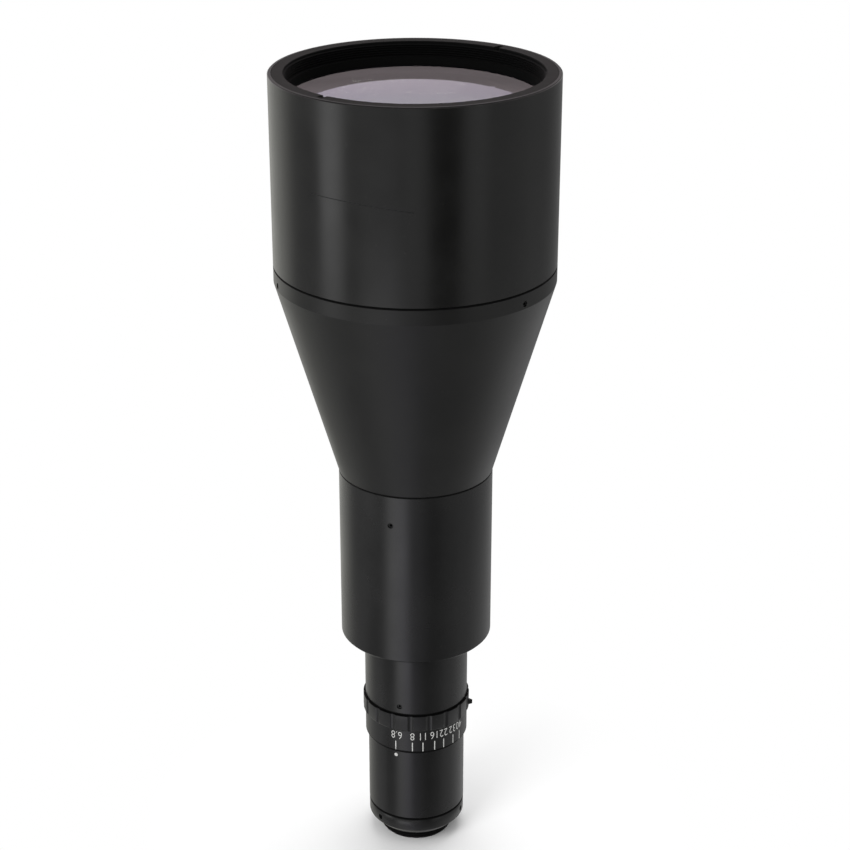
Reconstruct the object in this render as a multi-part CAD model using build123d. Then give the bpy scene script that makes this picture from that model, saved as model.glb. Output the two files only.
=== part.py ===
from build123d import *

import os
from math import asin, cos, degrees, radians, sin

# A telecentric lens for machine vision, standing on the end of its camera thread.
# Millimetres. +Z is the optical axis, towards the front glass, with 0 at the foot.
# Bearings are degrees round that axis, from the front side, -Y, towards +X.

# Clearances
screwed_gap = 0.03  # radial, between two pieces screwed or pushed together for good
running_gap = 0.05  # radial, between two pieces that turn on each other
end_gap = 0.15  # along the axis, between two pieces that turn on each other
glass_gap = 0.1  # radial, round a glass in its bore
cement_film = 0.05  # between the two curved faces of a doublet
seat_margin = 0.2  # radial, from a glass's curved face to the seat on its flat
edge_break = 0.35  # chamfer where two barrels meet at a seam
fine_break = 0.2  # chamfer on small turned edges
cut_over = 1.0  # how far a cut runs past the faces it goes through

# Camera mount ring
thread_r = 12.7
thread_length = 4.0
thread_chamfer = 0.4
thread_wall = 1.9
flange_width = 1.8
mount_ring_step = 0.05  # the mount ring's radius is this much under the rear barrel's
mount_bevel_height = 2.6
mount_band_height = 4.9

# Rear barrel, with a neck at each end
rear_barrel_r = 17.05
rear_barrel_length = 28.8
mount_ring_wall = 2.6
mount_neck_length = 5.6
mount_neck_wall = 2.4
mount_groove_depth = 0.6
rear_seat_drop = 0.5  # the rear group's seat below the rear barrel's top
rear_dome_room = 3.0  # free height over the rear group's seat
ring_neck_step = 2.55
ring_neck_wall = 1.7
iris_ledge = 3.4

# Aperture ring
iris_ring_wall = 3.5
iris_ring_length = 15.4
grip_rise = 0.75
grip_height = 6.3
grip_slots = 18
grip_slot_width = 0.8
grip_slot_depth = 0.55
grip_slot_bearing = -6.0
iris_ring_travel = 80.9  # degrees, from wide open to the smallest stop

# Iris tube
iris_tube_length = 25.0
tube_lip_height = 1.6
tube_socket_depth = 10.0
tube_socket_spare = 0.3  # depth left over the top of the ring neck
tube_bore_ledge = 2.5
tube_neck_wall = 3.5

# Mid barrel
mid_barrel_r = 26.05
mid_barrel_length = 62.3
mid_floor = 5.0
mid_wall = 3.45
mid_ledge = 2.6
middle_cell_height = 21.3
mid_foot_chamfer = 0.7

# Cone
cone_length = 67.7
cone_band_height = 5.3
cone_socket_wall = 3.85
cone_wall = 3.6
cone_neck_length = 18.0
cone_neck_wall = 2.6
cone_step = 3.7  # inner step above the seam with the mid barrel
cone_light_stop_width = 6.0
cone_light_stop_thickness = 1.0

# Front housing
front_r = 46.05
front_housing_length = 62.4
front_wall = 4.05
front_rim_wall = 1.15
front_bore_ledge = 2.3
front_seat_height = 3.5
front_hollow_floor = 4.0
front_neck_length = 8.0
front_neck_wall = 2.5
front_light_stop_width = 4.0
front_light_stop_thickness = 1.0

# Front retaining ring, with the filter thread
ring_width = 4.3
ring_height = 7.8
ring_spare = 1.0  # thread left free under the ring, so that it can press on the glass
filter_thread_length = 5.0
spanner_slot_width = 2.0
spanner_slot_depth = 1.6
spanner_slot_wall = 1.0
spanner_slot_bearing = -43.0

# Front glasses
front_seat_width = 2.9
front_lens_edge = 5.5
front_lens_sag = 2.7
front_lens_back_sag = -1.6
front_spacer_height = 3.5
front_inner_lens_edge = 6.5
front_inner_lens_sag = 3.6
front_inner_lens_back_sag = 2.2

# Middle doublet in its cell
cell_wall = 3.6
cell_seat_height = 4.0
cell_seat_width = 2.1
middle_flint_edge = 3.0
middle_doublet_sag = 2.4
middle_flint_back_sag = 1.2
middle_crown_edge = 4.2
middle_crown_sag = 1.8
middle_retainer_height = 2.6

# Rear group
rear_seat_width = 2.0
rear_crown_edge = 3.6
rear_crown_sag = 1.7
rear_doublet_sag = 1.9
rear_flint_edge = 3.4
rear_flint_back_sag = -0.4
rear_spacer_height = 9.5
rear_lens_edge = 4.0
rear_lens_sag = 1.2
rear_lens_back_sag = 1.0
rear_retainer_height = 2.5

# Iris diaphragm
blade_count = 8
blade_thickness = 0.15
blade_spacing = 0.2
blade_edge_r = 4.2
leaf_pin_gap = 0.15  # radial, from the leaves' backs to the cam pins at the smallest stop
smallest_stop_r = 0.68
blade_start = 30.0  # bearings of the curved leaf's ends from its own pivot
blade_end = 108.0
pivot_inset = 1.5  # radial, from the iris chamber's wall
cam_pin_lead = 34.0  # degrees from a blade's pivot to its cam pin, wide open
ear_width = 1.6
ear_web_width = 3.2
blade_pin_r = 0.3
base_plate_thickness = 1.2
base_plate_overlap = 0.2  # the fixed stop's edge inside the open leaves
cam_ring_thickness = 1.6
cam_slot_gap = 0.09  # radial, round a cam pin in its slot
cam_ring_inner_wall = 0.5
cam_ring_gap = 0.2  # radial, inside the iris chamber
iris_retainer_height = 2.2
iris_retainer_width = 3.8

# Spanner slots of the small retaining rings
small_slot_width = 1.4
small_slot_depth = 0.8

# Screws
set_screw_r = 1.0
set_screw_sunk = 0.4
set_screws_each = 3
socket_flats = 0.9
socket_depth = 0.9
cone_screw_bearing = 48.0
cone_screw_drop = 3.7  # below the seam with the front housing
mid_screw_bearing = -18.5
mid_screw_drop = 10.7  # below the seam with the cone
tube_screw_bearing = -18.6
tube_screw_rise = 0.9  # above the lip
mount_screw_bearing = -49.3
mount_screw_drop = 2.9  # below the seam with the rear barrel
lock_screw_bearing = 84.0
lock_screw_drop = 4.4  # below the aperture ring's top
lock_screw_r = 0.8
lock_head_r = 1.1
lock_head_height = 1.2
lock_head_taper = 18.0
lock_slot_width = 0.35
lock_slot_depth = 0.45
lock_tip_gap = 0.2
drive_screw_bearing = 170.0
drive_screw_drop = 2.2  # below the aperture ring's top
drive_screw_r = 0.8
drive_screw_sunk = 0.3
drive_pin_r = 0.45
drive_notch_depth = 0.5

# Radii worked out from the sizes
flange_r = thread_r + flange_width
rear_opening_r = thread_r - thread_wall
mount_ring_r = rear_barrel_r - mount_ring_step
mount_neck_r = mount_ring_r - mount_ring_wall
rear_bore_r = mount_neck_r - mount_neck_wall
ring_neck_r = rear_barrel_r - ring_neck_step
iris_chamber_r = ring_neck_r - ring_neck_wall
iris_throat_r = iris_chamber_r - iris_ledge
iris_ring_r = ring_neck_r + running_gap + iris_ring_wall
grip_r = iris_ring_r + grip_rise
tube_lip_r = grip_r
iris_tube_r = iris_ring_r
tube_bore_r = ring_neck_r - tube_bore_ledge
tube_neck_r = tube_bore_r + tube_neck_wall
mid_bore_r = mid_barrel_r - mid_wall
mid_waist_r = mid_bore_r - mid_ledge
cell_bore_r = mid_bore_r - cell_wall
cone_neck_bore_r = mid_bore_r - cone_neck_wall
cone_band_r = front_r
front_neck_r = cone_band_r - cone_socket_wall
front_neck_bore_r = front_neck_r - front_neck_wall
front_hollow_r = front_r - front_wall
ring_thread_r = front_r - front_rim_wall
filter_thread_r = ring_thread_r - ring_width
front_bore_r = ring_thread_r - front_bore_ledge

front_glass_r = front_bore_r - glass_gap
front_clear_r = front_glass_r - front_seat_width + seat_margin
middle_glass_r = cell_bore_r - glass_gap
middle_clear_r = middle_glass_r - cell_seat_width + seat_margin
rear_glass_r = rear_bore_r - glass_gap
rear_clear_r = rear_glass_r - rear_seat_width + seat_margin

# Heights worked out from the lengths
flange_z = thread_length
mount_top_z = flange_z + mount_bevel_height + mount_band_height
rear_bottom_z = mount_top_z + end_gap
rear_top_z = mount_top_z + rear_barrel_length
mount_neck_z = mount_top_z - mount_neck_length
iris_ring_z = rear_top_z + end_gap
iris_ring_top_z = iris_ring_z + iris_ring_length
tube_z = iris_ring_top_z + end_gap
tube_top_z = tube_z + iris_tube_length
ring_neck_top_z = tube_z + tube_socket_depth
mid_top_z = tube_top_z + mid_barrel_length
cone_band_z = mid_top_z + cone_length
cone_top_z = cone_band_z + cone_band_height
front_top_z = cone_top_z + front_housing_length

mid_floor_z = tube_top_z + mid_floor
cone_neck_z = mid_top_z - cone_neck_length
cell_z = cone_neck_z - middle_cell_height
front_neck_z = cone_top_z - front_neck_length
front_stop_z = front_neck_z - front_light_stop_thickness
front_ring_z = front_top_z - ring_height
front_lens_z = front_ring_z - front_lens_edge
front_spacer_z = front_lens_z - front_spacer_height
front_inner_z = front_spacer_z - front_inner_lens_edge

rear_seat_z = rear_top_z - rear_seat_drop
rear_crown_z = rear_seat_z - rear_crown_edge
rear_flint_z = rear_crown_z - rear_flint_edge
rear_spacer_z = rear_flint_z - rear_spacer_height
rear_lens_z = rear_spacer_z - rear_lens_edge

# The diaphragm hangs at the height of the drive screw
lock_screw_z = iris_ring_top_z - lock_screw_drop
drive_z = iris_ring_top_z - drive_screw_drop
cam_ring_z = drive_z - cam_ring_thickness / 2
blades_z = cam_ring_z - blade_count * blade_spacing
iris_floor_z = blades_z - blade_spacing + blade_thickness - base_plate_thickness
iris_retainer_z = cam_ring_z + cam_ring_thickness + end_gap

# A leaf's edge swings from its open circle to the smallest stop, and its cam pin moves inwards
pivot_circle_r = iris_chamber_r - pivot_inset
blade_swing = 2 * degrees(asin((blade_edge_r - smallest_stop_r) / (2 * pivot_circle_r)))


def cam_pin_place(share):
    """Where the first blade's cam pin lies on the cam ring at a share of the ring's travel."""
    swing = radians(blade_swing * share)
    lead = radians(cam_pin_lead)
    along = pivot_circle_r * (cos(lead) - 1)
    across = pivot_circle_r * sin(lead)
    x = pivot_circle_r + along * cos(swing) - across * sin(swing)
    y = along * sin(swing) + across * cos(swing)
    return Vector(x, y).rotate(Axis.Z, iris_ring_travel * share)


closed_cam_pin_r = cam_pin_place(1).length
leaf_back_r = closed_cam_pin_r - blade_pin_r - leaf_pin_gap
cam_slot_r = blade_pin_r + cam_slot_gap
cam_ring_bore_r = closed_cam_pin_r - cam_slot_r - cam_ring_inner_wall


def turned(*outline):
    """A body of revolution about the optical axis, from (radius, height) corners."""
    corners = [(radius, 0, height) for radius, height in outline]
    return revolve(make_face(Polyline(*corners, close=True)), Axis.Z)


def break_edge(part, radius, height, size=edge_break):
    """Chamfer the turned edge of that radius at that height."""
    edges = [
        edge
        for edge in part.edges().filter_by(GeomType.CIRCLE)
        if abs(edge.radius - radius) < 0.001 and abs(edge.arc_center.Z - height) < 0.001
    ]
    return chamfer(edges, size)


def at_bearing(part, bearing):
    """Turn a piece that points along -Y to its bearing round the axis."""
    return Rot(0, 0, bearing) * part


def radial_rod(radius, inner, outer, height, sides=None):
    """A rod along -Y from one distance off the axis to another; sides gives a hexagon."""
    section = RegularPolygon(radius, sides, major_radius=False) if sides else Circle(radius)
    start = Plane(origin=(0, -inner, height), x_dir=(1, 0, 0), z_dir=(0, -1, 0))
    return extrude(start * section, outer - inner)


def around(part, bearing, count=set_screws_each):
    """Copies of a piece at even spacing round the axis, from a first bearing."""
    return [at_bearing(part, bearing + index * 360 / count) for index in range(count)]


def set_screws(tip, outside, height, bearing):
    """Grub screws whose tips lie at one distance off the axis, sunk under the outside."""
    head = outside - set_screw_sunk
    screw = radial_rod(set_screw_r - screwed_gap, tip, head, height)
    screw -= radial_rod(socket_flats / 2, head - socket_depth, head, height, 6)
    return Compound(children=around(screw, bearing))


def screw_holes(part, inside, outside, height, bearing):
    """Drill the set screws' holes through one wall."""
    reach = 2 * set_screw_r
    for hole in around(radial_rod(set_screw_r, inside - reach, outside + reach, height), bearing):
        part -= hole
    return part


def surface(sag, height, radius):
    """The outline of a glass face, from the axis out to its flat seat."""
    if sag == 0:
        return Line((0, 0, height), (radius, 0, height))
    return TangentArc((0, 0, height + sag), (radius, 0, height), tangent=(1, 0, 0))


def lens(outer_r, seat_width, bottom, edge, sag, back_sag):
    """A glass with a flat seat round both faces; a negative sag makes a hollow face."""
    face_r = outer_r - seat_width
    top = bottom + edge
    axis_line = Line((0, 0, bottom - back_sag), (0, 0, top + sag))
    corners = [(face_r, 0, top), (outer_r, 0, top), (outer_r, 0, bottom), (face_r, 0, bottom)]
    outline = [axis_line, surface(sag, top, face_r), Polyline(*corners)]
    outline.append(surface(-back_sag, bottom, face_r))
    return revolve(make_face(outline), Axis.Z)


def washer(outer_r, inner_r, bottom, height):
    """A plain turned ring."""
    return turned((inner_r, bottom), (outer_r, bottom), (outer_r, bottom + height), (inner_r, bottom + height))


def spanner_slots(part, inner_r, outer_r, face, depth, width, bearing=0.0):
    """Cut the two opposed slots that a pin spanner turns a ring by into its end face."""
    start = inner_r - cut_over
    slot = Pos(0, -(start + outer_r) / 2, face) * Box(width, outer_r - start, 2 * depth)
    for cut in around(slot, bearing, 2):
        part -= cut
    return part


def mount_ring():
    bore_r = mount_neck_r + running_gap
    shoulder_z = mount_neck_z - end_gap
    ring = turned(
        (rear_opening_r, 0),
        (thread_r, 0),
        (thread_r, flange_z),
        (flange_r, flange_z),
        (mount_ring_r, flange_z + mount_bevel_height),
        (mount_ring_r, mount_top_z),
        (bore_r, mount_top_z),
        (bore_r, shoulder_z),
        (rear_opening_r, shoulder_z),
    )
    ring = break_edge(ring, thread_r, 0, thread_chamfer)
    ring = break_edge(ring, mount_ring_r, mount_top_z)
    height = mount_top_z - mount_screw_drop
    return screw_holes(ring, bore_r, mount_ring_r, height, mount_screw_bearing)


def mount_set_screws():
    tip = mount_neck_r - mount_groove_depth + running_gap
    return set_screws(tip, mount_ring_r, mount_top_z - mount_screw_drop, mount_screw_bearing)


def rear_barrel():
    groove_low = mount_top_z - mount_screw_drop - set_screw_r - end_gap
    groove_high = mount_top_z - mount_screw_drop + set_screw_r + end_gap
    barrel = turned(
        (rear_bore_r, mount_neck_z),
        (mount_neck_r, mount_neck_z),
        (mount_neck_r, groove_low),
        (mount_neck_r - mount_groove_depth, groove_low),
        (mount_neck_r - mount_groove_depth, groove_high),
        (mount_neck_r, groove_high),
        (mount_neck_r, rear_bottom_z),
        (rear_barrel_r, rear_bottom_z),
        (rear_barrel_r, rear_top_z),
        (ring_neck_r, rear_top_z),
        (ring_neck_r, ring_neck_top_z),
        (iris_chamber_r, ring_neck_top_z),
        (iris_chamber_r, iris_floor_z),
        (iris_throat_r, iris_floor_z),
        (iris_throat_r, rear_seat_z + rear_dome_room),
        (rear_clear_r, rear_seat_z + rear_dome_room),
        (rear_clear_r, rear_seat_z),
        (rear_bore_r, rear_seat_z),
    )
    barrel = break_edge(barrel, rear_barrel_r, rear_bottom_z)
    barrel = break_edge(barrel, rear_barrel_r, rear_top_z, fine_break)
    barrel = break_edge(barrel, ring_neck_r, ring_neck_top_z)
    return barrel - drive_window()


def drive_window():
    """The slot through the neck that the drive pin travels in."""
    half_height = drive_pin_r + end_gap
    spare = degrees(2 * drive_pin_r / ring_neck_r)
    outer_r = ring_neck_r + cut_over
    wall = washer(outer_r, iris_chamber_r - cut_over, drive_z - half_height, 2 * half_height)
    start = drive_screw_bearing - 90 - iris_ring_travel - spare
    return wall & sector(2 * outer_r, start, iris_ring_travel + 2 * spare)


def sector(radius, start, sweep):
    """A tall wedge of a disc, from one angle about +Z through a sweep under a half turn."""
    rim = CenterArc((0, 0), radius, start, sweep)
    wedge = make_face([rim, Line((0, 0), rim @ 0), Line((0, 0), rim @ 1)])
    return extrude(wedge, front_top_z)


def rear_crown_lens():
    back = rear_doublet_sag - cement_film
    return lens(rear_glass_r, rear_seat_width, rear_crown_z, rear_crown_edge, rear_crown_sag, back)


def rear_flint_lens():
    sag = -rear_doublet_sag
    return lens(rear_glass_r, rear_seat_width, rear_flint_z, rear_flint_edge, sag, rear_flint_back_sag)


def rear_spacer_ring():
    return washer(rear_bore_r - screwed_gap, rear_clear_r, rear_spacer_z, rear_spacer_height)


def rear_lens():
    return lens(rear_glass_r, rear_seat_width, rear_lens_z, rear_lens_edge, rear_lens_sag, rear_lens_back_sag)


def rear_retaining_ring():
    outer_r = rear_bore_r - screwed_gap
    bottom = rear_lens_z - rear_retainer_height
    ring = washer(outer_r, rear_clear_r, bottom, rear_retainer_height)
    end = outer_r + cut_over
    return spanner_slots(ring, rear_clear_r, end, bottom, small_slot_depth, small_slot_width)


def iris_base_plate():
    stop_r = blade_edge_r - base_plate_overlap
    plate = washer(iris_chamber_r - screwed_gap, stop_r, iris_floor_z, base_plate_thickness)
    pin_hole = extrude(Circle(blade_pin_r + running_gap), base_plate_thickness)
    hole = Pos(pivot_circle_r, 0, iris_floor_z) * pin_hole
    for index in range(blade_count):
        plate -= Rot(0, 0, index * 360 / blade_count) * hole
    return plate


def blade_outline():
    """A leaf wide open: a curved leaf, and an ear that carries the pivot and the cam pin."""
    leaf_width = leaf_back_r - blade_edge_r
    leaf_r = blade_edge_r + leaf_width / 2
    leaf = SlotArc(CenterArc((0, 0), leaf_r, blade_start, blade_end - blade_start), leaf_width)
    ear = SlotArc(CenterArc((0, 0), pivot_circle_r, 0, cam_pin_lead), ear_width)
    web_length = pivot_circle_r - leaf_r
    web = Pos((pivot_circle_r + leaf_r) / 2, 0) * Rectangle(web_length, ear_web_width)
    return leaf + ear + Rot(0, 0, blade_start * 2 / 3) * web


def iris_blade(index):
    bottom = blades_z + index * blade_spacing
    top = bottom + blade_thickness
    leaf = Pos(0, 0, bottom) * extrude(blade_outline(), blade_thickness)
    pivot_z = iris_floor_z + end_gap
    pivot = Pos(pivot_circle_r, 0, pivot_z) * extrude(Circle(blade_pin_r), top - pivot_z)
    cam_z = cam_ring_z + cam_ring_thickness - end_gap
    cam_pin = Pos(pivot_circle_r, 0, bottom) * extrude(Circle(blade_pin_r), cam_z - bottom)
    blade = leaf + pivot + Rot(0, 0, cam_pin_lead) * cam_pin
    return Rot(0, 0, index * 360 / blade_count) * blade


def iris_cam_ring():
    """The ring whose curved slots swing all the leaves together."""
    ring_r = iris_chamber_r - cam_ring_gap
    ring = washer(ring_r, cam_ring_bore_r, cam_ring_z, cam_ring_thickness)
    path = ThreePointArc(cam_pin_place(0), cam_pin_place(0.5), cam_pin_place(1))
    slot = SlotArc(path, 2 * cam_slot_r)
    cut = Pos(0, 0, cam_ring_z) * extrude(slot, cam_ring_thickness)
    for index in range(blade_count):
        ring -= Rot(0, 0, index * 360 / blade_count) * cut
    notch_end = ring_r + cut_over
    notch = radial_rod(drive_pin_r + screwed_gap, ring_r - drive_notch_depth, notch_end, drive_z)
    return ring - at_bearing(notch, drive_screw_bearing)


def iris_retaining_ring():
    outer_r = iris_chamber_r - screwed_gap
    retainer_bore_r = iris_chamber_r - iris_retainer_width
    ring = washer(outer_r, retainer_bore_r, iris_retainer_z, iris_retainer_height)
    top = iris_retainer_z + iris_retainer_height
    end = outer_r + cut_over
    return spanner_slots(ring, retainer_bore_r, end, top, small_slot_depth, small_slot_width)


def iris_drive_screw():
    """A screw in the aperture ring whose pin reaches the cam ring through the neck's window."""
    head = grip_r - drive_screw_sunk
    tip = iris_chamber_r - cam_ring_gap - drive_notch_depth + screwed_gap
    screw = radial_rod(drive_screw_r - screwed_gap, ring_neck_r + end_gap, head, drive_z)
    screw += radial_rod(drive_pin_r, tip, head - socket_depth, drive_z)
    screw -= radial_rod(socket_flats / 2, head - socket_depth, head, drive_z, 6)
    return at_bearing(screw, drive_screw_bearing)


def iris_ring():
    """The aperture ring: a slotted grip band over a plain band for the scale."""
    bore_r = ring_neck_r + running_gap
    grip_z = iris_ring_top_z - grip_height
    ring = turned(
        (bore_r, iris_ring_z),
        (iris_ring_r, iris_ring_z),
        (iris_ring_r, grip_z - (grip_r - iris_ring_r)),
        (grip_r, grip_z),
        (grip_r, iris_ring_top_z),
        (bore_r, iris_ring_top_z),
    )
    ring = break_edge(ring, iris_ring_r, iris_ring_z, fine_break)
    ring = break_edge(ring, grip_r, iris_ring_top_z)
    slot_height = grip_height + grip_r
    slot_z = grip_z + slot_height / 2
    slot = Pos(0, -grip_r, slot_z) * Box(grip_slot_width, 2 * grip_slot_depth, slot_height)
    for cut in around(slot, grip_slot_bearing, grip_slots):
        ring -= cut
    inner = bore_r - cut_over
    outer = grip_r + cut_over
    lock_hole = radial_rod(lock_screw_r + running_gap, inner, outer, lock_screw_z)
    drive_hole = radial_rod(drive_screw_r, inner, outer, drive_z)
    ring -= at_bearing(lock_hole, lock_screw_bearing)
    return ring - at_bearing(drive_hole, drive_screw_bearing)


def iris_lock_screw():
    """A slotted screw whose tip bears on the neck, with its head proud of the grip band."""
    under_head = grip_r + running_gap
    top = under_head + lock_head_height
    head_plane = Plane(origin=(0, -under_head, lock_screw_z), x_dir=(1, 0, 0), z_dir=(0, -1, 0))
    head = head_plane * extrude(Circle(lock_head_r), lock_head_height, taper=lock_head_taper)
    shank = radial_rod(lock_screw_r, ring_neck_r + lock_tip_gap, under_head, lock_screw_z)
    slot = Box(2 * lock_head_r, 2 * lock_slot_depth, lock_slot_width)
    slot = Pos(0, -top, lock_screw_z) * slot
    return at_bearing(shank + head - slot, lock_screw_bearing)


def iris_tube():
    socket_r = ring_neck_r + screwed_gap
    socket_z = ring_neck_top_z + tube_socket_spare
    lip_z = tube_z + tube_lip_height
    neck_r = tube_neck_r - screwed_gap
    tube = turned(
        (socket_r, tube_z),
        (tube_lip_r, tube_z),
        (tube_lip_r, lip_z),
        (iris_tube_r, lip_z),
        (iris_tube_r, tube_top_z),
        (neck_r, tube_top_z),
        (neck_r, mid_floor_z),
        (tube_bore_r, mid_floor_z),
        (tube_bore_r, socket_z),
        (socket_r, socket_z),
    )
    tube = break_edge(tube, tube_lip_r, tube_z)
    tube = break_edge(tube, tube_lip_r, lip_z, fine_break)
    height = lip_z + tube_screw_rise
    return screw_holes(tube, socket_r, iris_tube_r, height, tube_screw_bearing)


def tube_set_screws():
    height = tube_z + tube_lip_height + tube_screw_rise
    return set_screws(ring_neck_r + screwed_gap, iris_tube_r, height, tube_screw_bearing)


def mid_barrel():
    barrel = turned(
        (tube_neck_r, tube_top_z),
        (mid_barrel_r, tube_top_z),
        (mid_barrel_r, mid_top_z),
        (mid_bore_r, mid_top_z),
        (mid_bore_r, cell_z),
        (mid_waist_r, cell_z),
        (mid_waist_r, mid_floor_z),
        (tube_neck_r, mid_floor_z),
    )
    barrel = break_edge(barrel, mid_barrel_r, tube_top_z, mid_foot_chamfer)
    barrel = break_edge(barrel, mid_barrel_r, mid_top_z)
    height = mid_top_z - mid_screw_drop
    return screw_holes(barrel, mid_bore_r, mid_barrel_r, height, mid_screw_bearing)


def mid_set_screws():
    return set_screws(mid_bore_r, mid_barrel_r, mid_top_z - mid_screw_drop, mid_screw_bearing)


def middle_lens_cell():
    outer_r = mid_bore_r - screwed_gap
    seat_z = cell_z + cell_seat_height
    return turned(
        (middle_clear_r, cell_z),
        (outer_r, cell_z),
        (outer_r, cone_neck_z),
        (cell_bore_r, cone_neck_z),
        (cell_bore_r, seat_z),
        (middle_clear_r, seat_z),
    )


def middle_flint_lens():
    bottom = cell_z + cell_seat_height
    sag = -middle_doublet_sag
    return lens(middle_glass_r, cell_seat_width, bottom, middle_flint_edge, sag, middle_flint_back_sag)


def middle_crown_lens():
    bottom = cell_z + cell_seat_height + middle_flint_edge
    back = middle_doublet_sag - cement_film
    return lens(middle_glass_r, cell_seat_width, bottom, middle_crown_edge, middle_crown_sag, back)


def middle_retaining_ring():
    bottom = cell_z + cell_seat_height + middle_flint_edge + middle_crown_edge
    outer_r = cell_bore_r - screwed_gap
    ring = washer(outer_r, middle_clear_r, bottom, middle_retainer_height)
    top = bottom + middle_retainer_height
    end = outer_r + cut_over
    return spanner_slots(ring, middle_clear_r, end, top, small_slot_depth, small_slot_width)


def cone_r(height):
    """The cone's outer radius at a height."""
    share = (height - mid_top_z) / cone_length
    return mid_barrel_r + share * (cone_band_r - mid_barrel_r)


def cone_housing():
    socket_r = front_neck_r + screwed_gap
    neck_r = mid_bore_r - screwed_gap
    step_z = mid_top_z + cone_step
    cone = turned(
        (cone_neck_bore_r, cone_neck_z),
        (neck_r, cone_neck_z),
        (neck_r, mid_top_z),
        (mid_barrel_r, mid_top_z),
        (cone_band_r, cone_band_z),
        (cone_band_r, cone_top_z),
        (socket_r, cone_top_z),
        (socket_r, front_stop_z),
        (cone_r(front_stop_z) - cone_wall, front_stop_z),
        (cone_r(step_z) - cone_wall, step_z),
        (cone_neck_bore_r, step_z),
    )
    cone = break_edge(cone, mid_barrel_r, mid_top_z)
    cone = break_edge(cone, cone_band_r, cone_top_z)
    height = cone_top_z - cone_screw_drop
    return screw_holes(cone, socket_r, cone_band_r, height, cone_screw_bearing)


def cone_set_screws():
    tip = front_neck_r + screwed_gap
    return set_screws(tip, cone_band_r, cone_top_z - cone_screw_drop, cone_screw_bearing)


def cone_light_stop():
    step_z = mid_top_z + cone_step
    outer_r = cone_r(step_z) - cone_wall - glass_gap
    inner_r = outer_r - cone_light_stop_width
    return washer(outer_r, inner_r, step_z, cone_light_stop_thickness)


def front_light_stop():
    outer_r = front_neck_r - screwed_gap
    inner_r = outer_r - front_light_stop_width
    return washer(outer_r, inner_r, front_stop_z, front_light_stop_thickness)


def front_housing():
    hollow_top_z = front_inner_z - front_seat_height
    hollow_z = cone_top_z + front_hollow_floor
    counterbore_z = front_ring_z - ring_spare
    housing = turned(
        (front_neck_bore_r, front_neck_z),
        (front_neck_r, front_neck_z),
        (front_neck_r, cone_top_z),
        (front_r, cone_top_z),
        (front_r, front_top_z),
        (ring_thread_r, front_top_z),
        (ring_thread_r, counterbore_z),
        (front_bore_r, counterbore_z),
        (front_bore_r, front_inner_z),
        (front_clear_r, front_inner_z),
        (front_clear_r, hollow_top_z),
        (front_hollow_r, hollow_top_z),
        (front_hollow_r, hollow_z),
        (front_neck_bore_r, hollow_z),
    )
    housing = break_edge(housing, front_r, cone_top_z)
    return break_edge(housing, front_r, front_top_z)


def front_lens():
    return lens(
        front_glass_r,
        front_seat_width,
        front_lens_z,
        front_lens_edge,
        front_lens_sag,
        front_lens_back_sag,
    )


def front_spacer_ring():
    return washer(front_bore_r - screwed_gap, front_clear_r, front_spacer_z, front_spacer_height)


def front_inner_lens():
    return lens(
        front_glass_r,
        front_seat_width,
        front_inner_z,
        front_inner_lens_edge,
        front_inner_lens_sag,
        front_inner_lens_back_sag,
    )


def front_retaining_ring():
    """The threaded ring flush with the rim, with a lip on the glass under the filter thread."""
    outer_r = ring_thread_r - screwed_gap
    lip_z = front_top_z - filter_thread_length
    ring = turned(
        (front_clear_r, front_ring_z),
        (outer_r, front_ring_z),
        (outer_r, front_top_z),
        (filter_thread_r, front_top_z),
        (filter_thread_r, lip_z),
        (front_clear_r, lip_z),
    )
    ring = break_edge(ring, filter_thread_r, front_top_z, fine_break)
    slot_end = outer_r - spanner_slot_wall
    return spanner_slots(
        ring,
        filter_thread_r,
        slot_end,
        front_top_z,
        spanner_slot_depth,
        spanner_slot_width,
        spanner_slot_bearing,
    )


pieces = {
    "mount_ring": mount_ring(),
    "mount_set_screws": mount_set_screws(),
    "rear_barrel": rear_barrel(),
    "rear_crown_lens": rear_crown_lens(),
    "rear_flint_lens": rear_flint_lens(),
    "rear_spacer_ring": rear_spacer_ring(),
    "rear_lens": rear_lens(),
    "rear_retaining_ring": rear_retaining_ring(),
    "iris_base_plate": iris_base_plate(),
    "iris_cam_ring": iris_cam_ring(),
    "iris_retaining_ring": iris_retaining_ring(),
    "iris_drive_screw": iris_drive_screw(),
    "iris_ring": iris_ring(),
    "iris_lock_screw": iris_lock_screw(),
    "iris_tube": iris_tube(),
    "tube_set_screws": tube_set_screws(),
    "mid_barrel": mid_barrel(),
    "mid_set_screws": mid_set_screws(),
    "middle_lens_cell": middle_lens_cell(),
    "middle_flint_lens": middle_flint_lens(),
    "middle_crown_lens": middle_crown_lens(),
    "middle_retaining_ring": middle_retaining_ring(),
    "cone_housing": cone_housing(),
    "cone_set_screws": cone_set_screws(),
    "cone_light_stop": cone_light_stop(),
    "front_light_stop": front_light_stop(),
    "front_housing": front_housing(),
    "front_lens": front_lens(),
    "front_spacer_ring": front_spacer_ring(),
    "front_inner_lens": front_inner_lens(),
    "front_retaining_ring": front_retaining_ring(),
}
for index in range(blade_count):
    pieces[f"iris_blade_{index + 1}"] = iris_blade(index)

os.makedirs("parts", exist_ok=True)
for name, piece in pieces.items():
    export_step(piece, f"parts/{name}.step")
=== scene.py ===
from math import cos, pi, radians, sin, tau

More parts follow.
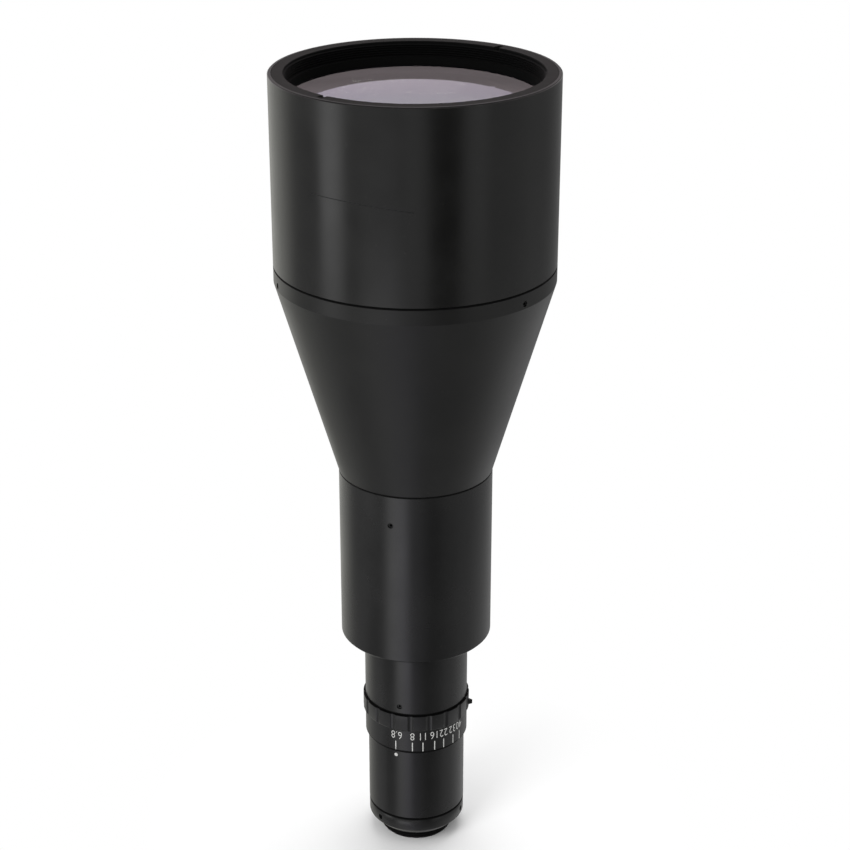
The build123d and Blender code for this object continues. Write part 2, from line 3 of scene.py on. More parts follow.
import bpy
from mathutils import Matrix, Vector


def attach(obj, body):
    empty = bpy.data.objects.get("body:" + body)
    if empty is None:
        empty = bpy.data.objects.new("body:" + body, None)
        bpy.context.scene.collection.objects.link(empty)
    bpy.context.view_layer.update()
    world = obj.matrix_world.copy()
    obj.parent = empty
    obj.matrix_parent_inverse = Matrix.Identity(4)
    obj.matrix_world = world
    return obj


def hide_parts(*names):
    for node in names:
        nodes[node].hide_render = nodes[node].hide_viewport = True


# Looks for the telecentric lens. It stands on its camera thread, +Z is the optical axis,
# and bearings are degrees round that axis from the front side, -Y, towards +X.
# The shapes' sizes are in millimetres; MM turns them into Blender's metres. In an outline,
# a small number beside a name is the width of a broken edge or a step.

MM = 0.001
TURNED_SIDES = 256
HOLES_EACH = (0, 120, 240)  # each row of grub screws, round from the first one

# Camera mount ring
MOUNT_R, MOUNT_TOP, MOUNT_BORE_R = 17.0, 11.5, 10.8
MOUNT_SOCKET_R, MOUNT_SOCKET_Z = 14.45, 5.75
FLANGE_R, FLANGE_Z, BEVEL_TOP = 14.4, 4.0, 6.6
MOUNT_SCREW_Z, MOUNT_SCREW_BEARING = 8.6, -49.3

# Front retaining ring
LENS_TOP = 278.7
FRONT_RING_R, FRONT_RING_BORE_R, FRONT_RING_LOW = 44.87, 39.9, 270.9
SPANNER_SLOT_WIDTH, SPANNER_SLOT_DEPTH = 2.0, 1.6
SPANNER_SLOT_BEARINGS = (-40, 140)

# Aperture ring: a plain band for the scale, and a wider grip band over it
APERTURE_RING_R, GRIP_R, RING_BORE_R = 18.05, 18.8, 14.55
RING_LOW, GRIP_LOW, RING_TOP = 40.45, 48.8, 55.25
FLUTE_R, FLUTE_DEPTH, FLUTE_STEP, FIRST_FLUTE = 1.7, 0.4, 20, -6
FLUTE_CUT_Z, FLUTE_CUT_LENGTH = 52, 12
LOCK_HOLE_R, LOCK_BEARING, LOCK_Z = 0.85, 84, 51.45
DRIVE_HOLE_R, DRIVE_BEARING, DRIVE_Z = 0.8, 170, 53.65

# Iris tube
TUBE_R, TUBE_FOOT, TUBE_TOP = 18.05, 55.45, 81.0
TUBE_NECK_R, TUBE_NECK_TOP, TUBE_BORE_R = 15.47, 86.0, 12.0
TUBE_SOCKET_R, TUBE_SOCKET_TOP = 14.53, 66.3
TUBE_SCREW_Z, TUBE_SCREW_BEARING = 58.5, -18.6

# Holes for the CAD's screws: each drill starts nearer the axis than the wall, and ends past it
SET_SCREW_R, DRILL_START, DRILL_SPARE = 1.0, 13.5, 1.0

# Threads. A ridge's root takes most of a pitch, and its crest a small share of the root.
CAMERA_THREAD_R, CAMERA_THREAD_DEPTH, CAMERA_THREAD_PITCH = 12.7, 0.45, 25.4 / 32
CAMERA_THREAD_LOW, CAMERA_THREAD_TURNS = 0.42, 4
FILTER_THREAD_R, FILTER_THREAD_DEPTH, FILTER_THREAD_PITCH = 40.6, 0.45, 0.75
FILTER_RECESS_LOW, FILTER_THREAD_LOW, FILTER_THREAD_TURNS = 273.7, 274.3, 5
THREAD_SUNK = 0.05
RIDGE_ROOT_SHARE, RIDGE_CREST_SHARE = 0.96, 0.14

# Aperture scale and index dot: each number, its tick's bearing and its own bearing
SCALE_MARKS = (
    ("6.8", -23.3, -22.2),
    ("8", -4.1, -4.1),
    ("11", 7.7, 7.7),
    ("16", 21.2, 21.2),
    ("22", 32.5, 32.5),
    ("32", 46.1, 45.2),
    ("40", 57.6, 56.6),
)
NUMERAL_HEIGHT, NUMERAL_Z = 3.1, 46.95
NUMERAL_THINNING, NUMERAL_SQUEEZE, NUMERAL_SPACING = 0.045, 0.8, 1.04
FONT_CAP_SHARE = 0.73  # a capital's height in the font's own size
NUMERAL_CUT, NUMERAL_CUTS_EACH_SIDE = 0.25, 12
TICK_LOW, TICK_HIGH, TICK_WIDTH = 40.8, 44.3, 0.34
REAR_BARREL_R = 17.05
INDEX_BEARING, INDEX_Z, INDEX_R = -24.4, 37.9, 0.65
PAINT_PROUD, PAINT_EDGE = 0.03, 0.02

# Scuffed line on the front housing: its height at the front side, and in millimetres a
# degree, and a degree squared, how it falls as its bearing grows
SCUFF_Z, SCUFF_FALL, SCUFF_BEND = 246.82, -0.117, -0.00144
SCUFF_DARK = 0.45

# Painted shade, in bands round the axis at the seams between parts and over the camera thread at
# the foot: lowest and highest height, and how dark each is
SEAM_SHADES = (
    (-0.1, 4.05, 0.85),
    (11.05, 11.85, 1.0),
    (39.4, 40.72, 1.0),
    (55.2, 55.88, 1.0),
    (142.95, 143.5, 0.75),
    (215.95, 216.65, 1.0),
    (278.55, 279.0, 0.7),
)

# What the skin and glass reflect: an even room, and softboxes by bearing, half width,
# lowest and highest elevation, and strength. A strength below nothing is a dark card.
ROOM_LEVEL = 0.32
SOFTBOXES = (
    (-68, 14, -20, 24, 1.8),
    (-68, 16, -42, -24, -0.2),
    (-28, 23, -31, -23, 2.05),
    (-28, 28, -45, -31, 0.22),
    (-80, 60, -45, -31, 0.14),
    (100, 70, -45, -31, 0.14),
    (-30, 40, -90, -45, 0.3),
    (-145, 40, -31, 24, 0.42),
    (-145, 40, -90, -31, 0.1),
    (-135, 30, -90, -46, 0.2),
    (130, 45, -90, -26, 0.12),
    (140, 40, -22, 24, -0.12),
    (24, 15, -22, 24, -0.5),
    (38, 35, -50, -22, -0.16),
    (50, 12, -22, 24, 0.22),
    (0, 10, -22, 24, 0.18),
    (180, 85, 2, 85, 0.55),
    (180, 85, 46, 85, 0.28),
)
# Faint tints of the room's light, by bearing, half width, lowest and highest elevation
ROOM_TINTS = (
    (-145, 50, -90, 24, (1.0, 1.0, 0.94, 1)),
    (-8, 30, -60, -26, (0.97, 0.95, 1.06, 1)),
    (180, 100, 4, 85, (1.0, 0.93, 0.95, 1)),
    (180, 100, 26, 85, (1.0, 0.86, 0.9, 1)),
)
SOFTBOX_EDGE = 4  # degrees of fade, either way, at its lowest and highest elevation
EVEN_LIGHT = 0.75  # the world's strength for all but mirrored and camera rays

# Colours that more than one finish shares
RUBBED_METAL = (0.1, 0.1, 0.097, 1)
DUST_GREY = (0.14, 0.14, 0.13, 1)
# Black of the painted shade in the seams; the matte bore and the scuff use it too
SEAM_SHADE_AND_MATTE_BLACK = (0.003, 0.003, 0.003, 1)

# Studio, in metres and degrees: the floor fades to white between two distances
FLOOR_R, FLOOR_FADE_FROM, FLOOR_FADE_TO = 6, 0.03, 0.1
CAMERA_PLACE, CAMERA_TILT = (0.00313, -0.60847, 0.42482), 66.33
CAMERA_LENS, CAMERA_SENSOR = 83.77, 36
LAMP_TARGET = (0, 0, 0.15)


def deselect():
    bpy.ops.object.select_all(action="DESELECT")


def take_up(piece):
    """Select one piece alone and make it active."""
    deselect()
    piece.select_set(True)
    bpy.context.view_layer.objects.active = piece


def settle(name):
    """Name the new primitive and put its place into its mesh."""
    piece = bpy.context.object
    piece.name = name
    piece.data.name = name
    bpy.ops.object.transform_apply(location=True, rotation=True, scale=True)
    return piece


def join_pieces(name, pieces):
    """Join pieces of one finish into one object."""
    take_up(pieces[0])
    for piece in pieces:
        piece.select_set(True)
    bpy.ops.object.join()
    pieces[0].name = name
    pieces[0].data.name = name
    return pieces[0]


def wrap_on_barrel(piece, bearing, radius, height, turned_over=False):
    """Lay a flat piece, drawn in its own XY with its thickness along Z, round a barrel."""
    way = -1 if turned_over else 1
    for vertex in piece.data.vertices:
        across, up, out = way * vertex.co.x, way * vertex.co.y, vertex.co.z
        angle = radians(bearing) + across / (radius * MM)
        reach = radius * MM + out
        vertex.co = (reach * sin(angle), -reach * cos(angle), height * MM + up)


def shade_turned(piece, angle=30):
    """Shade a piece smooth and keep its corners crisp."""
    take_up(piece)
    bpy.ops.object.shade_smooth_by_angle(angle=radians(angle))


# Pieces


def turned_piece(name, outline):
    """Turn a ring: a circle is extruded from corner to corner of the outline and closed."""
    deselect()
    radius, height = outline[0]
    bpy.ops.mesh.primitive_circle_add(
        vertices=TURNED_SIDES, radius=radius * MM, location=(0, 0, height * MM)
    )
    ring = settle(name)
    bpy.ops.object.mode_set(mode="EDIT")
    bpy.ops.mesh.select_all(action="SELECT")
    for next_radius, next_height in outline[1:] + outline[:1]:
        bpy.ops.mesh.extrude_region_move()
        grow = next_radius / radius
        bpy.ops.transform.resize(value=(grow, grow, 1), center_override=(0, 0, 0))
        bpy.ops.transform.translate(value=(0, 0, (next_height - height) * MM))
        radius, height = next_radius, next_height
    bpy.ops.mesh.select_all(action="SELECT")
    bpy.ops.mesh.remove_doubles(threshold=1e-6)
    bpy.ops.mesh.normals_make_consistent(inside=False)
    bpy.ops.object.mode_set(mode="OBJECT")
    return ring


def thread_ridge(name, root_r, crest_r, bottom, pitch, turns):
    """A screw thread's ridge, wound up the axis from one flat section."""
    deselect()
    middle = (root_r + crest_r) / 2
    bpy.ops.mesh.primitive_plane_add(
        size=1, location=(middle * MM, 0, bottom * MM), rotation=(pi / 2, 0, 0)
    )
    depth = abs(crest_r - root_r)
    bpy.context.object.scale = (depth * MM, RIDGE_ROOT_SHARE * pitch * MM, 1)
    ridge = settle(name)
    bpy.ops.object.mode_set(mode="EDIT")
    bpy.ops.mesh.select_all(action="SELECT")
    bpy.ops.mesh.delete(type="ONLY_FACE")
    bpy.ops.object.mode_set(mode="OBJECT")
    for vertex in ridge.data.vertices:
        if (vertex.co.x > middle * MM) == (crest_r > root_r):
            vertex.co.z = (bottom + (vertex.co.z / MM - bottom) * RIDGE_CREST_SHARE) * MM
    winding = ridge.modifiers.new("winding", "SCREW")
    winding.axis = "Z"
    winding.angle = tau
    winding.screw_offset = pitch * MM
    winding.iterations = turns
    winding.steps = winding.render_steps = TURNED_SIDES // 2
    bpy.ops.object.modifier_apply(modifier="winding")
    bpy.ops.object.mode_set(mode="EDIT")
    bpy.ops.mesh.select_all(action="SELECT")
    bpy.ops.mesh.fill_holes(sides=4)
    bpy.ops.mesh.normals_make_consistent(inside=False)
    bpy.ops.object.mode_set(mode="OBJECT")
    return ridge


def cut_out(piece, cutters):
    """Cut holes or slots into a piece with solid cutters."""
    for cutter in cutters:
        take_up(piece)
        cut = piece.modifiers.new("cut", "BOOLEAN")
        cut.operation = "DIFFERENCE"
        cut.solver = "EXACT"
        cut.object = cutter
        bpy.ops.object.modifier_apply(modifier="cut")
        bpy.data.objects.remove(cutter)


def radial_drill(radius, inner, outer, bearing, height):
    """A round cutter that points outwards at a bearing."""
    deselect()
    angle = radians(bearing)
    middle = (inner + outer) / 2
    bpy.ops.mesh.primitive_cylinder_add(
        vertices=32,
        radius=radius * MM,
        depth=(outer - inner) * MM,
        location=(middle * sin(angle) * MM, -middle * cos(angle) * MM, height * MM),
        rotation=(pi / 2, 0, angle),
    )
    return settle("drill")


def set_screw_drills(radius, bearing, height):
    """Drills for a row of grub screws through a wall of a radius."""
    reach = radius + DRILL_SPARE
    return [
        radial_drill(SET_SCREW_R, DRILL_START, reach, bearing + turn, height)
        for turn in HOLES_EACH
    ]


def slot_cutter(width, inner, outer, bottom, top, bearing):
    """A square cutter across a ring's face at a bearing."""
    deselect()
    angle = radians(bearing)
    middle = (inner + outer) / 2
    bpy.ops.mesh.primitive_cube_add(
        size=1,
        location=(middle * sin(angle) * MM, -middle * cos(angle) * MM, (bottom + top) / 2 * MM),
        rotation=(0, 0, angle),
        scale=(width * MM, (outer - inner) * MM, (top - bottom) * MM),
    )
    return settle("slot")


def camera_mount_ring():
    """The mount ring with its real camera thread, 32 turns to the inch."""
    root_r = CAMERA_THREAD_R - CAMERA_THREAD_DEPTH
    outline = [
        (MOUNT_BORE_R, 0.25),
        (MOUNT_BORE_R + 0.25, 0.0),
        (root_r - 0.2, 0.0),
        (root_r, 0.2),
        (root_r, FLANGE_Z - 0.3),
        (FLANGE_R, FLANGE_Z),
        (FLANGE_R + 0.1, FLANGE_Z + 0.1),
        (MOUNT_R - 0.12, BEVEL_TOP - 0.12),
        (MOUNT_R, BEVEL_TOP + 0.12),
        (MOUNT_R, MOUNT_TOP - 0.35),
        (MOUNT_R - 0.08, MOUNT_TOP - 0.18),
        (MOUNT_R - 0.35, MOUNT_TOP),
        (MOUNT_SOCKET_R, MOUNT_TOP),
        (MOUNT_SOCKET_R, MOUNT_SOCKET_Z),
        (MOUNT_BORE_R, MOUNT_SOCKET_Z),
    ]
    ring = turned_piece("camera_mount_ring", outline)
    cut_out(ring, set_screw_drills(MOUNT_R, MOUNT_SCREW_BEARING, MOUNT_SCREW_Z))
    ridge = thread_ridge(
        "camera_thread",
        root_r - THREAD_SUNK,
        CAMERA_THREAD_R,
        CAMERA_THREAD_LOW,
        CAMERA_THREAD_PITCH,
        CAMERA_THREAD_TURNS,
    )
    return join_pieces("camera_mount_ring", [ring, ridge])


def front_ring():
    """The front retaining ring with its filter thread and its two spanner slots."""
    root_r = FILTER_THREAD_R + FILTER_THREAD_DEPTH
    outline = [
        (FRONT_RING_BORE_R, FRONT_RING_LOW),
        (FRONT_RING_R, FRONT_RING_LOW),
        (FRONT_RING_R, LENS_TOP - 0.15),
        (FRONT_RING_R - 0.15, LENS_TOP),
        (root_r + 0.2, LENS_TOP),
        (root_r, LENS_TOP - 0.25),
        (root_r, FILTER_RECESS_LOW + 0.3),
        (FILTER_THREAD_R, FILTER_RECESS_LOW),
        (FRONT_RING_BORE_R, FILTER_RECESS_LOW),
    ]
    ring = turned_piece("threaded_front_ring", outline)
    inner, outer = FRONT_RING_BORE_R - 0.9, FRONT_RING_R - 1.0
    bottom, top = LENS_TOP - SPANNER_SLOT_DEPTH, LENS_TOP + 1.3
    slots = [
        slot_cutter(SPANNER_SLOT_WIDTH, inner, outer, bottom, top, bearing)
        for bearing in SPANNER_SLOT_BEARINGS
    ]
    cut_out(ring, slots)
    ridge = thread_ridge(
        "filter_thread",
        root_r + THREAD_SUNK,
        FILTER_THREAD_R,
        FILTER_THREAD_LOW,
        FILTER_THREAD_PITCH,
        FILTER_THREAD_TURNS,
    )
    return join_pieces("threaded_front_ring", [ring, ridge])


def aperture_ring():
    """The aperture ring: a grip band of round flutes over a plain band for the scale."""
    outline = [
        (RING_BORE_R, RING_LOW),
        (APERTURE_RING_R - 0.15, RING_LOW),
        (APERTURE_RING_R, RING_LOW + 0.15),
        (APERTURE_RING_R, GRIP_LOW),
        (GRIP_R - 0.15, GRIP_LOW + 0.6),
        (GRIP_R, GRIP_LOW + 0.9),
        (GRIP_R, RING_TOP - 0.12),
        (GRIP_R - 0.12, RING_TOP),
        (RING_BORE_R, RING_TOP),
    ]
    ring = turned_piece("fluted_aperture_ring", outline)
    bearings = range(FIRST_FLUTE, FIRST_FLUTE + 360, FLUTE_STEP)
    flutes = join_pieces("flutes", [flute_cutter(bearing) for bearing in bearings])
    reach = GRIP_R + 1.2
    lock_hole = radial_drill(LOCK_HOLE_R, DRILL_START, reach, LOCK_BEARING, LOCK_Z)
    drive_hole = radial_drill(DRIVE_HOLE_R, DRILL_START, reach, DRIVE_BEARING, DRIVE_Z)
    cut_out(ring, [flutes, lock_hole, drive_hole])
    return ring


def flute_cutter(bearing):
    """An upright round cutter that leaves a shallow flute in the grip band."""
    deselect()
    angle = radians(bearing)
    reach = GRIP_R + FLUTE_R - FLUTE_DEPTH
    bpy.ops.mesh.primitive_cylinder_add(
        vertices=64,
        radius=FLUTE_R * MM,
        depth=FLUTE_CUT_LENGTH * MM,
        location=(reach * sin(angle) * MM, -reach * cos(angle) * MM, FLUTE_CUT_Z * MM),
    )
    return settle("flute")


def iris_tube_piece():
    """The iris tube, plain down to its seam over the aperture ring, where shade is painted in."""
    outline = [
        (TUBE_SOCKET_R, TUBE_FOOT),
        (TUBE_R, TUBE_FOOT),
        (TUBE_R, TUBE_TOP),
        (TUBE_NECK_R, TUBE_TOP),
        (TUBE_NECK_R, TUBE_NECK_TOP),
        (TUBE_BORE_R, TUBE_NECK_TOP),
        (TUBE_BORE_R, TUBE_SOCKET_TOP),
        (TUBE_SOCKET_R, TUBE_SOCKET_TOP),
    ]
    tube = turned_piece("plain_iris_tube", outline)
    cut_out(tube, set_screw_drills(TUBE_R, TUBE_SCREW_BEARING, TUBE_SCREW_Z))
    return tube


def round_paint(piece):
    """Round a painted mark's edges."""
    rounding = piece.modifiers.new("rounding", "BEVEL")
    rounding.width = PAINT_EDGE * MM
    rounding.segments = 2
    bpy.ops.object.modifier_apply(modifier="rounding")


def scale_tick(bearing):
    """A painted line of the aperture scale."""
    deselect()
    height = TICK_HIGH - TICK_LOW
    bpy.ops.mesh.primitive_cube_add(
        size=1, scale=(TICK_WIDTH * MM, height * MM, 2 * PAINT_PROUD * MM)
    )
    tick = settle("tick")
    round_paint(tick)
    wrap_on_barrel(tick, bearing, APERTURE_RING_R, (TICK_LOW + TICK_HIGH) / 2)
    return tick


def scale_numeral(words, bearing):
    """A painted number of the aperture scale; it reads with the camera end up."""
    deselect()
    bpy.ops.object.text_add()
    numeral = bpy.context.object
    numeral.data.body = words
    numeral.data.align_x = "CENTER"
    numeral.data.align_y = "CENTER"
    numeral.data.size = NUMERAL_HEIGHT / FONT_CAP_SHARE * MM
    numeral.data.extrude = PAINT_PROUD * MM
    numeral.data.offset = -NUMERAL_THINNING * MM
    numeral.data.space_character = NUMERAL_SPACING
    bpy.ops.object.convert(target="MESH")
    numeral = settle("numeral")
    bpy.ops.object.mode_set(mode="EDIT")
    for index in range(-NUMERAL_CUTS_EACH_SIDE, NUMERAL_CUTS_EACH_SIDE + 1):
        bpy.ops.mesh.select_all(action="SELECT")
        place = (index * NUMERAL_CUT * MM, 0, 0)
        bpy.ops.mesh.bisect(plane_co=place, plane_no=(1, 0, 0))
    bpy.ops.object.mode_set(mode="OBJECT")
    for vertex in numeral.data.vertices:
        vertex.co.x *= NUMERAL_SQUEEZE
    wrap_on_barrel(numeral, bearing, APERTURE_RING_R, NUMERAL_Z, turned_over=True)
    return numeral


def aperture_scale():
    """All ticks and numbers of the scale, as one piece of paint."""
    ticks = [scale_tick(bearing) for _, bearing, _ in SCALE_MARKS]
    numerals = [scale_numeral(words, bearing) for words, _, bearing in SCALE_MARKS]
    return join_pieces("aperture_scale", ticks + numerals)


def index_dot():
    """The white dot that the scale is set against."""
    deselect()
    bpy.ops.mesh.primitive_cylinder_add(
        vertices=48, radius=INDEX_R * MM, depth=2 * PAINT_PROUD * MM
    )
    dot = settle("index_dot")
    round_paint(dot)
    wrap_on_barrel(dot, INDEX_BEARING, REAR_BARREL_R, INDEX_Z)
    return dot


# Materials


def add(tree, kind, inputs=None, **settings):
    """A node with its settings, and its inputs set to values or linked to sockets."""
    node = tree.nodes.new(kind)
    for key, value in settings.items():
        setattr(node, key, value)
    for key, value in (inputs or {}).items():
        if isinstance(value, bpy.types.NodeSocket):
            tree.links.new(value, node.inputs[key])
        else:
            node.inputs[key].default_value = value
    return node


def maths(tree, operation, first, second=0.0):
    return add(tree, "ShaderNodeMath", {0: first, 1: second}, operation=operation).outputs[0]


def spread(tree, value, low, high, to_low=0.0, to_high=1.0):
    """Map a value's range onto another, held at both ends."""
    sockets = {0: value, 1: low, 2: high, 3: to_low, 4: to_high}
    return add(tree, "ShaderNodeMapRange", sockets, clamp=True).outputs[0]


def mix_colours(tree, share, first, second):
    """Blend two colours, given as values or as sockets, by a share."""
    node = add(tree, "ShaderNodeMix", data_type="RGBA")
    for index, value in ((0, share), (6, first), (7, second)):
        if isinstance(value, bpy.types.NodeSocket):
            tree.links.new(value, node.inputs[index])
        else:
            node.inputs[index].default_value = value
    return node.outputs[2]


def effect_group(name, inputs, outputs):
    """An empty node group with named float inputs and outputs."""
    tree = bpy.data.node_groups.new(name, "ShaderNodeTree")
    for label, value in inputs.items():
        socket = tree.interface.new_socket(label, in_out="INPUT", socket_type="NodeSocketFloat")
        socket.default_value = value
    for label in outputs:
        tree.interface.new_socket(label, in_out="OUTPUT", socket_type="NodeSocketFloat")
    return tree, tree.nodes.new("NodeGroupInput").outputs, tree.nodes.new("NodeGroupOutput").inputs


def turning_marks_group():
    """Fine rings left by the lathe, on barrels and on end faces alike."""
    tree, given, out = effect_group("turning marks", {"Marks per Metre": 2400.0}, ["Height"])
    place = add(tree, "ShaderNodeTexCoord").outputs["Object"]
    split = add(tree, "ShaderNodeSeparateXYZ", {0: place}).outputs
    across = maths(tree, "MULTIPLY", split[0], split[0])
    deep = maths(tree, "MULTIPLY", split[1], split[1])
    radius = maths(tree, "SQRT", maths(tree, "ADD", across, deep))
    point = add(tree, "ShaderNodeCombineXYZ", {0: radius, 2: split[2]}).outputs[0]
    noise = add(tree, "ShaderNodeTexNoise", {"Vector": point, "Detail": 3.0, "Roughness": 0.65})
    tree.links.new(given[0], noise.inputs["Scale"])
    tree.links.new(noise.outputs[0], out[0])
    return tree


def handling_group():
    """Broad cloudy patches where a finish was touched and wiped."""
    tree, given, out = effect_group("handling", {"Patches per Metre": 30.0}, ["Mask"])
    place = add(tree, "ShaderNodeTexCoord").outputs["Object"]
    noise = add(tree, "ShaderNodeTexNoise", {"Vector": place, "Detail": 5.0, "Roughness": 0.6})
    tree.links.new(given[0], noise.inputs["Scale"])
    tree.links.new(spread(tree, noise.outputs[0], 0.35, 0.68), out[0])
    return tree


def worn_edges_group():
    """Edges rubbed bright, more in some places than in others."""
    inputs = {"Edge Width": 0.0003, "Patches per Metre": 160.0}
    tree, given, out = effect_group("worn edges", inputs, ["Mask"])
    rounded = add(tree, "ShaderNodeBevel", samples=4)
    tree.links.new(given[0], rounded.inputs["Radius"])
    plain = add(tree, "ShaderNodeNewGeometry").outputs["Normal"]
    likeness = add(
        tree, "ShaderNodeVectorMath", {0: rounded.outputs[0], 1: plain}, operation="DOT_PRODUCT"
    ).outputs["Value"]
    edge = spread(tree, likeness, 0.985, 0.93)
    place = add(tree, "ShaderNodeTexCoord").outputs["Object"]
    noise = add(tree, "ShaderNodeTexNoise", {"Vector": place, "Detail": 4.0, "Roughness": 0.7})
    tree.links.new(given[1], noise.inputs["Scale"])
    patches = spread(tree, noise.outputs[0], 0.42, 0.66)
    tree.links.new(maths(tree, "MULTIPLY", edge, patches), out[0])
    return tree


def seam_shadow_group():
    """Painted shade: black where two barrels meet, round the axis at each seam's height."""
    tree, given, out = effect_group("seam shadow", {"Soft Edge": 0.0001}, ["Mask"])
    place = add(tree, "ShaderNodeTexCoord").outputs["Object"]
    height = add(tree, "ShaderNodeSeparateXYZ", {0: place}).outputs[2]
    shade = 0.0
    for low, high, depth in SEAM_SHADES:
        middle, half = (low + high) / 2 * MM, (high - low) / 2 * MM
        off = maths(tree, "ABSOLUTE", maths(tree, "SUBTRACT", height, middle))
        past = maths(tree, "DIVIDE", maths(tree, "SUBTRACT", off, half), given[0])
        band = spread(tree, past, 0.0, 1.0, depth, 0.0)
        shade = maths(tree, "MAXIMUM", shade, band)
    tree.links.new(shade, out[0])
    return tree


def scuff_group():
    """A faint scuffed line that runs part of the way round the front housing."""
    inputs = {"Start": -43.0, "End": 0.0, "Half Width": 0.00028}
    tree, given, out = effect_group("scuff", inputs, ["Mask"])
    place = add(tree, "ShaderNodeTexCoord").outputs["Object"]
    split = add(tree, "ShaderNodeSeparateXYZ", {0: place}).outputs
    back = maths(tree, "MULTIPLY", split[1], -1.0)
    bearing = maths(tree, "MULTIPLY", maths(tree, "ARCTAN2", split[0], back), 180 / pi)
    fall = maths(tree, "MULTIPLY", bearing, SCUFF_FALL)
    bend = maths(tree, "MULTIPLY", maths(tree, "MULTIPLY", bearing, bearing), SCUFF_BEND)
    line = maths(tree, "ADD", maths(tree, "ADD", fall, bend), SCUFF_Z)
    off = maths(tree, "SUBTRACT", split[2], maths(tree, "MULTIPLY", line, MM))
    widths_off = maths(tree, "DIVIDE", maths(tree, "ABSOLUTE", off), given[2])
    near = maths(tree, "SUBTRACT", 1.0, widths_off)
    after = maths(tree, "GREATER_THAN", bearing, given[0])
    before = maths(tree, "LESS_THAN", bearing, given[1])
    within = maths(tree, "MULTIPLY", after, before)
    mask = maths(tree, "MULTIPLY", maths(tree, "MAXIMUM", near, 0.0), within)
    tree.links.new(mask, out[0])
    return tree


def bore_group():
    """A mask of what lies inside a bore's radius."""
    tree, given, out = effect_group("bore", {"Bore Radius": 0.01}, ["Mask"])
    place = add(tree, "ShaderNodeTexCoord").outputs["Object"]
    split = add(tree, "ShaderNodeSeparateXYZ", {0: place}).outputs
    flat = add(tree, "ShaderNodeCombineXYZ", {0: split[0], 1: split[1]}).outputs[0]
    radius = add(tree, "ShaderNodeVectorMath", {0: flat}, operation="LENGTH").outputs["Value"]
    inside = maths(tree, "LESS_THAN", radius, given[0])
    tree.links.new(inside, out[0])
    return tree


def dust_group():
    """Sparse fine specks that settled on a surface."""
    tree, given, out = effect_group("dust", {"Specks per Metre": 900.0}, ["Mask"])
    place = add(tree, "ShaderNodeTexCoord").outputs["Object"]
    specks = add(tree, "ShaderNodeTexVoronoi", {"Vector": place}, feature="F1")
    tree.links.new(given[0], specks.inputs["Scale"])
    near = spread(tree, specks.outputs["Distance"], 0.12, 0.05)
    lottery = add(tree, "ShaderNodeSeparateColor", {0: specks.outputs["Color"]}).outputs[0]
    chosen = spread(tree, lottery, 0.9, 0.93)
    tree.links.new(maths(tree, "MULTIPLY", near, chosen), out[0])
    return tree


def use(tree, group, **values):
    """Place an effect group with its own values; returns its outputs."""
    node = add(tree, "ShaderNodeGroup", node_tree=group)
    for label, value in values.items():
        label = label.replace("_", " ").title().replace(" Per ", " per ")
        node.inputs[label].default_value = value
    return node.outputs


def new_material(name):
    material = bpy.data.materials.new(name)
    material.use_nodes = True
    return material, material.node_tree, material.node_tree.nodes["Principled BSDF"]


def anodised(
    name, effects, tone, sheen, roughness, marks=0.05, wear=0.25, specular=0.5, bore_radius=0.0
):
    """Black anodised aluminium: a turned surface with a satin skin and rubbed edges."""
    material, tree, shader = new_material(name)
    patches = use(tree, effects["handling"], patches_per_metre=34)[0]
    rings = use(tree, effects["turning"], marks_per_metre=2600)[0]
    worn = use(tree, effects["edges"], edge_width=0.00025, patches_per_metre=190)[0]
    specks = use(tree, effects["dust"], specks_per_metre=700)[0]
    skin = mix_colours(tree, patches, (*tone, 1), (*sheen, 1))
    rubbed = maths(tree, "MULTIPLY", worn, wear)
    skin = mix_colours(tree, rubbed, skin, RUBBED_METAL)
    skin = mix_colours(tree, maths(tree, "MULTIPLY", specks, 0.2), skin, DUST_GREY)
    # Painted shade in the seams, round the axis at set heights
    seam_shade = use(tree, effects["seam_shade"], soft_edge=0.0001)[0]
    bore = use(tree, effects["bore"], bore_radius=bore_radius)[0]
    scuff = use(tree, effects["scuff"], half_width=0.00028)[0]
    # The painted seam shade, the matte bore and the scuff all darken the skin towards one black
    dark = maths(tree, "MAXIMUM", seam_shade, bore)
    dark = maths(tree, "MAXIMUM", dark, maths(tree, "MULTIPLY", scuff, SCUFF_DARK))
    skin = mix_colours(tree, dark, skin, SEAM_SHADE_AND_MATTE_BLACK)
    tree.links.new(skin, shader.inputs["Base Color"])
    rough = spread(tree, patches, 0, 1, roughness - 0.03, roughness + 0.05)
    rough = maths(tree, "SUBTRACT", rough, maths(tree, "MULTIPLY", rubbed, 0.06))
    rough = maths(tree, "ADD", rough, maths(tree, "MULTIPLY", dark, 0.35))
    tree.links.new(rough, shader.inputs["Roughness"])
    gloss = spread(tree, dark, 0, 1, specular, 0.1)
    tree.links.new(gloss, shader.inputs["Specular IOR Level"])
    bump = add(tree, "ShaderNodeBump", {"Strength": marks, "Distance": 0.0001, "Height": rings})
    tree.links.new(bump.outputs[0], shader.inputs["Normal"])
    return material


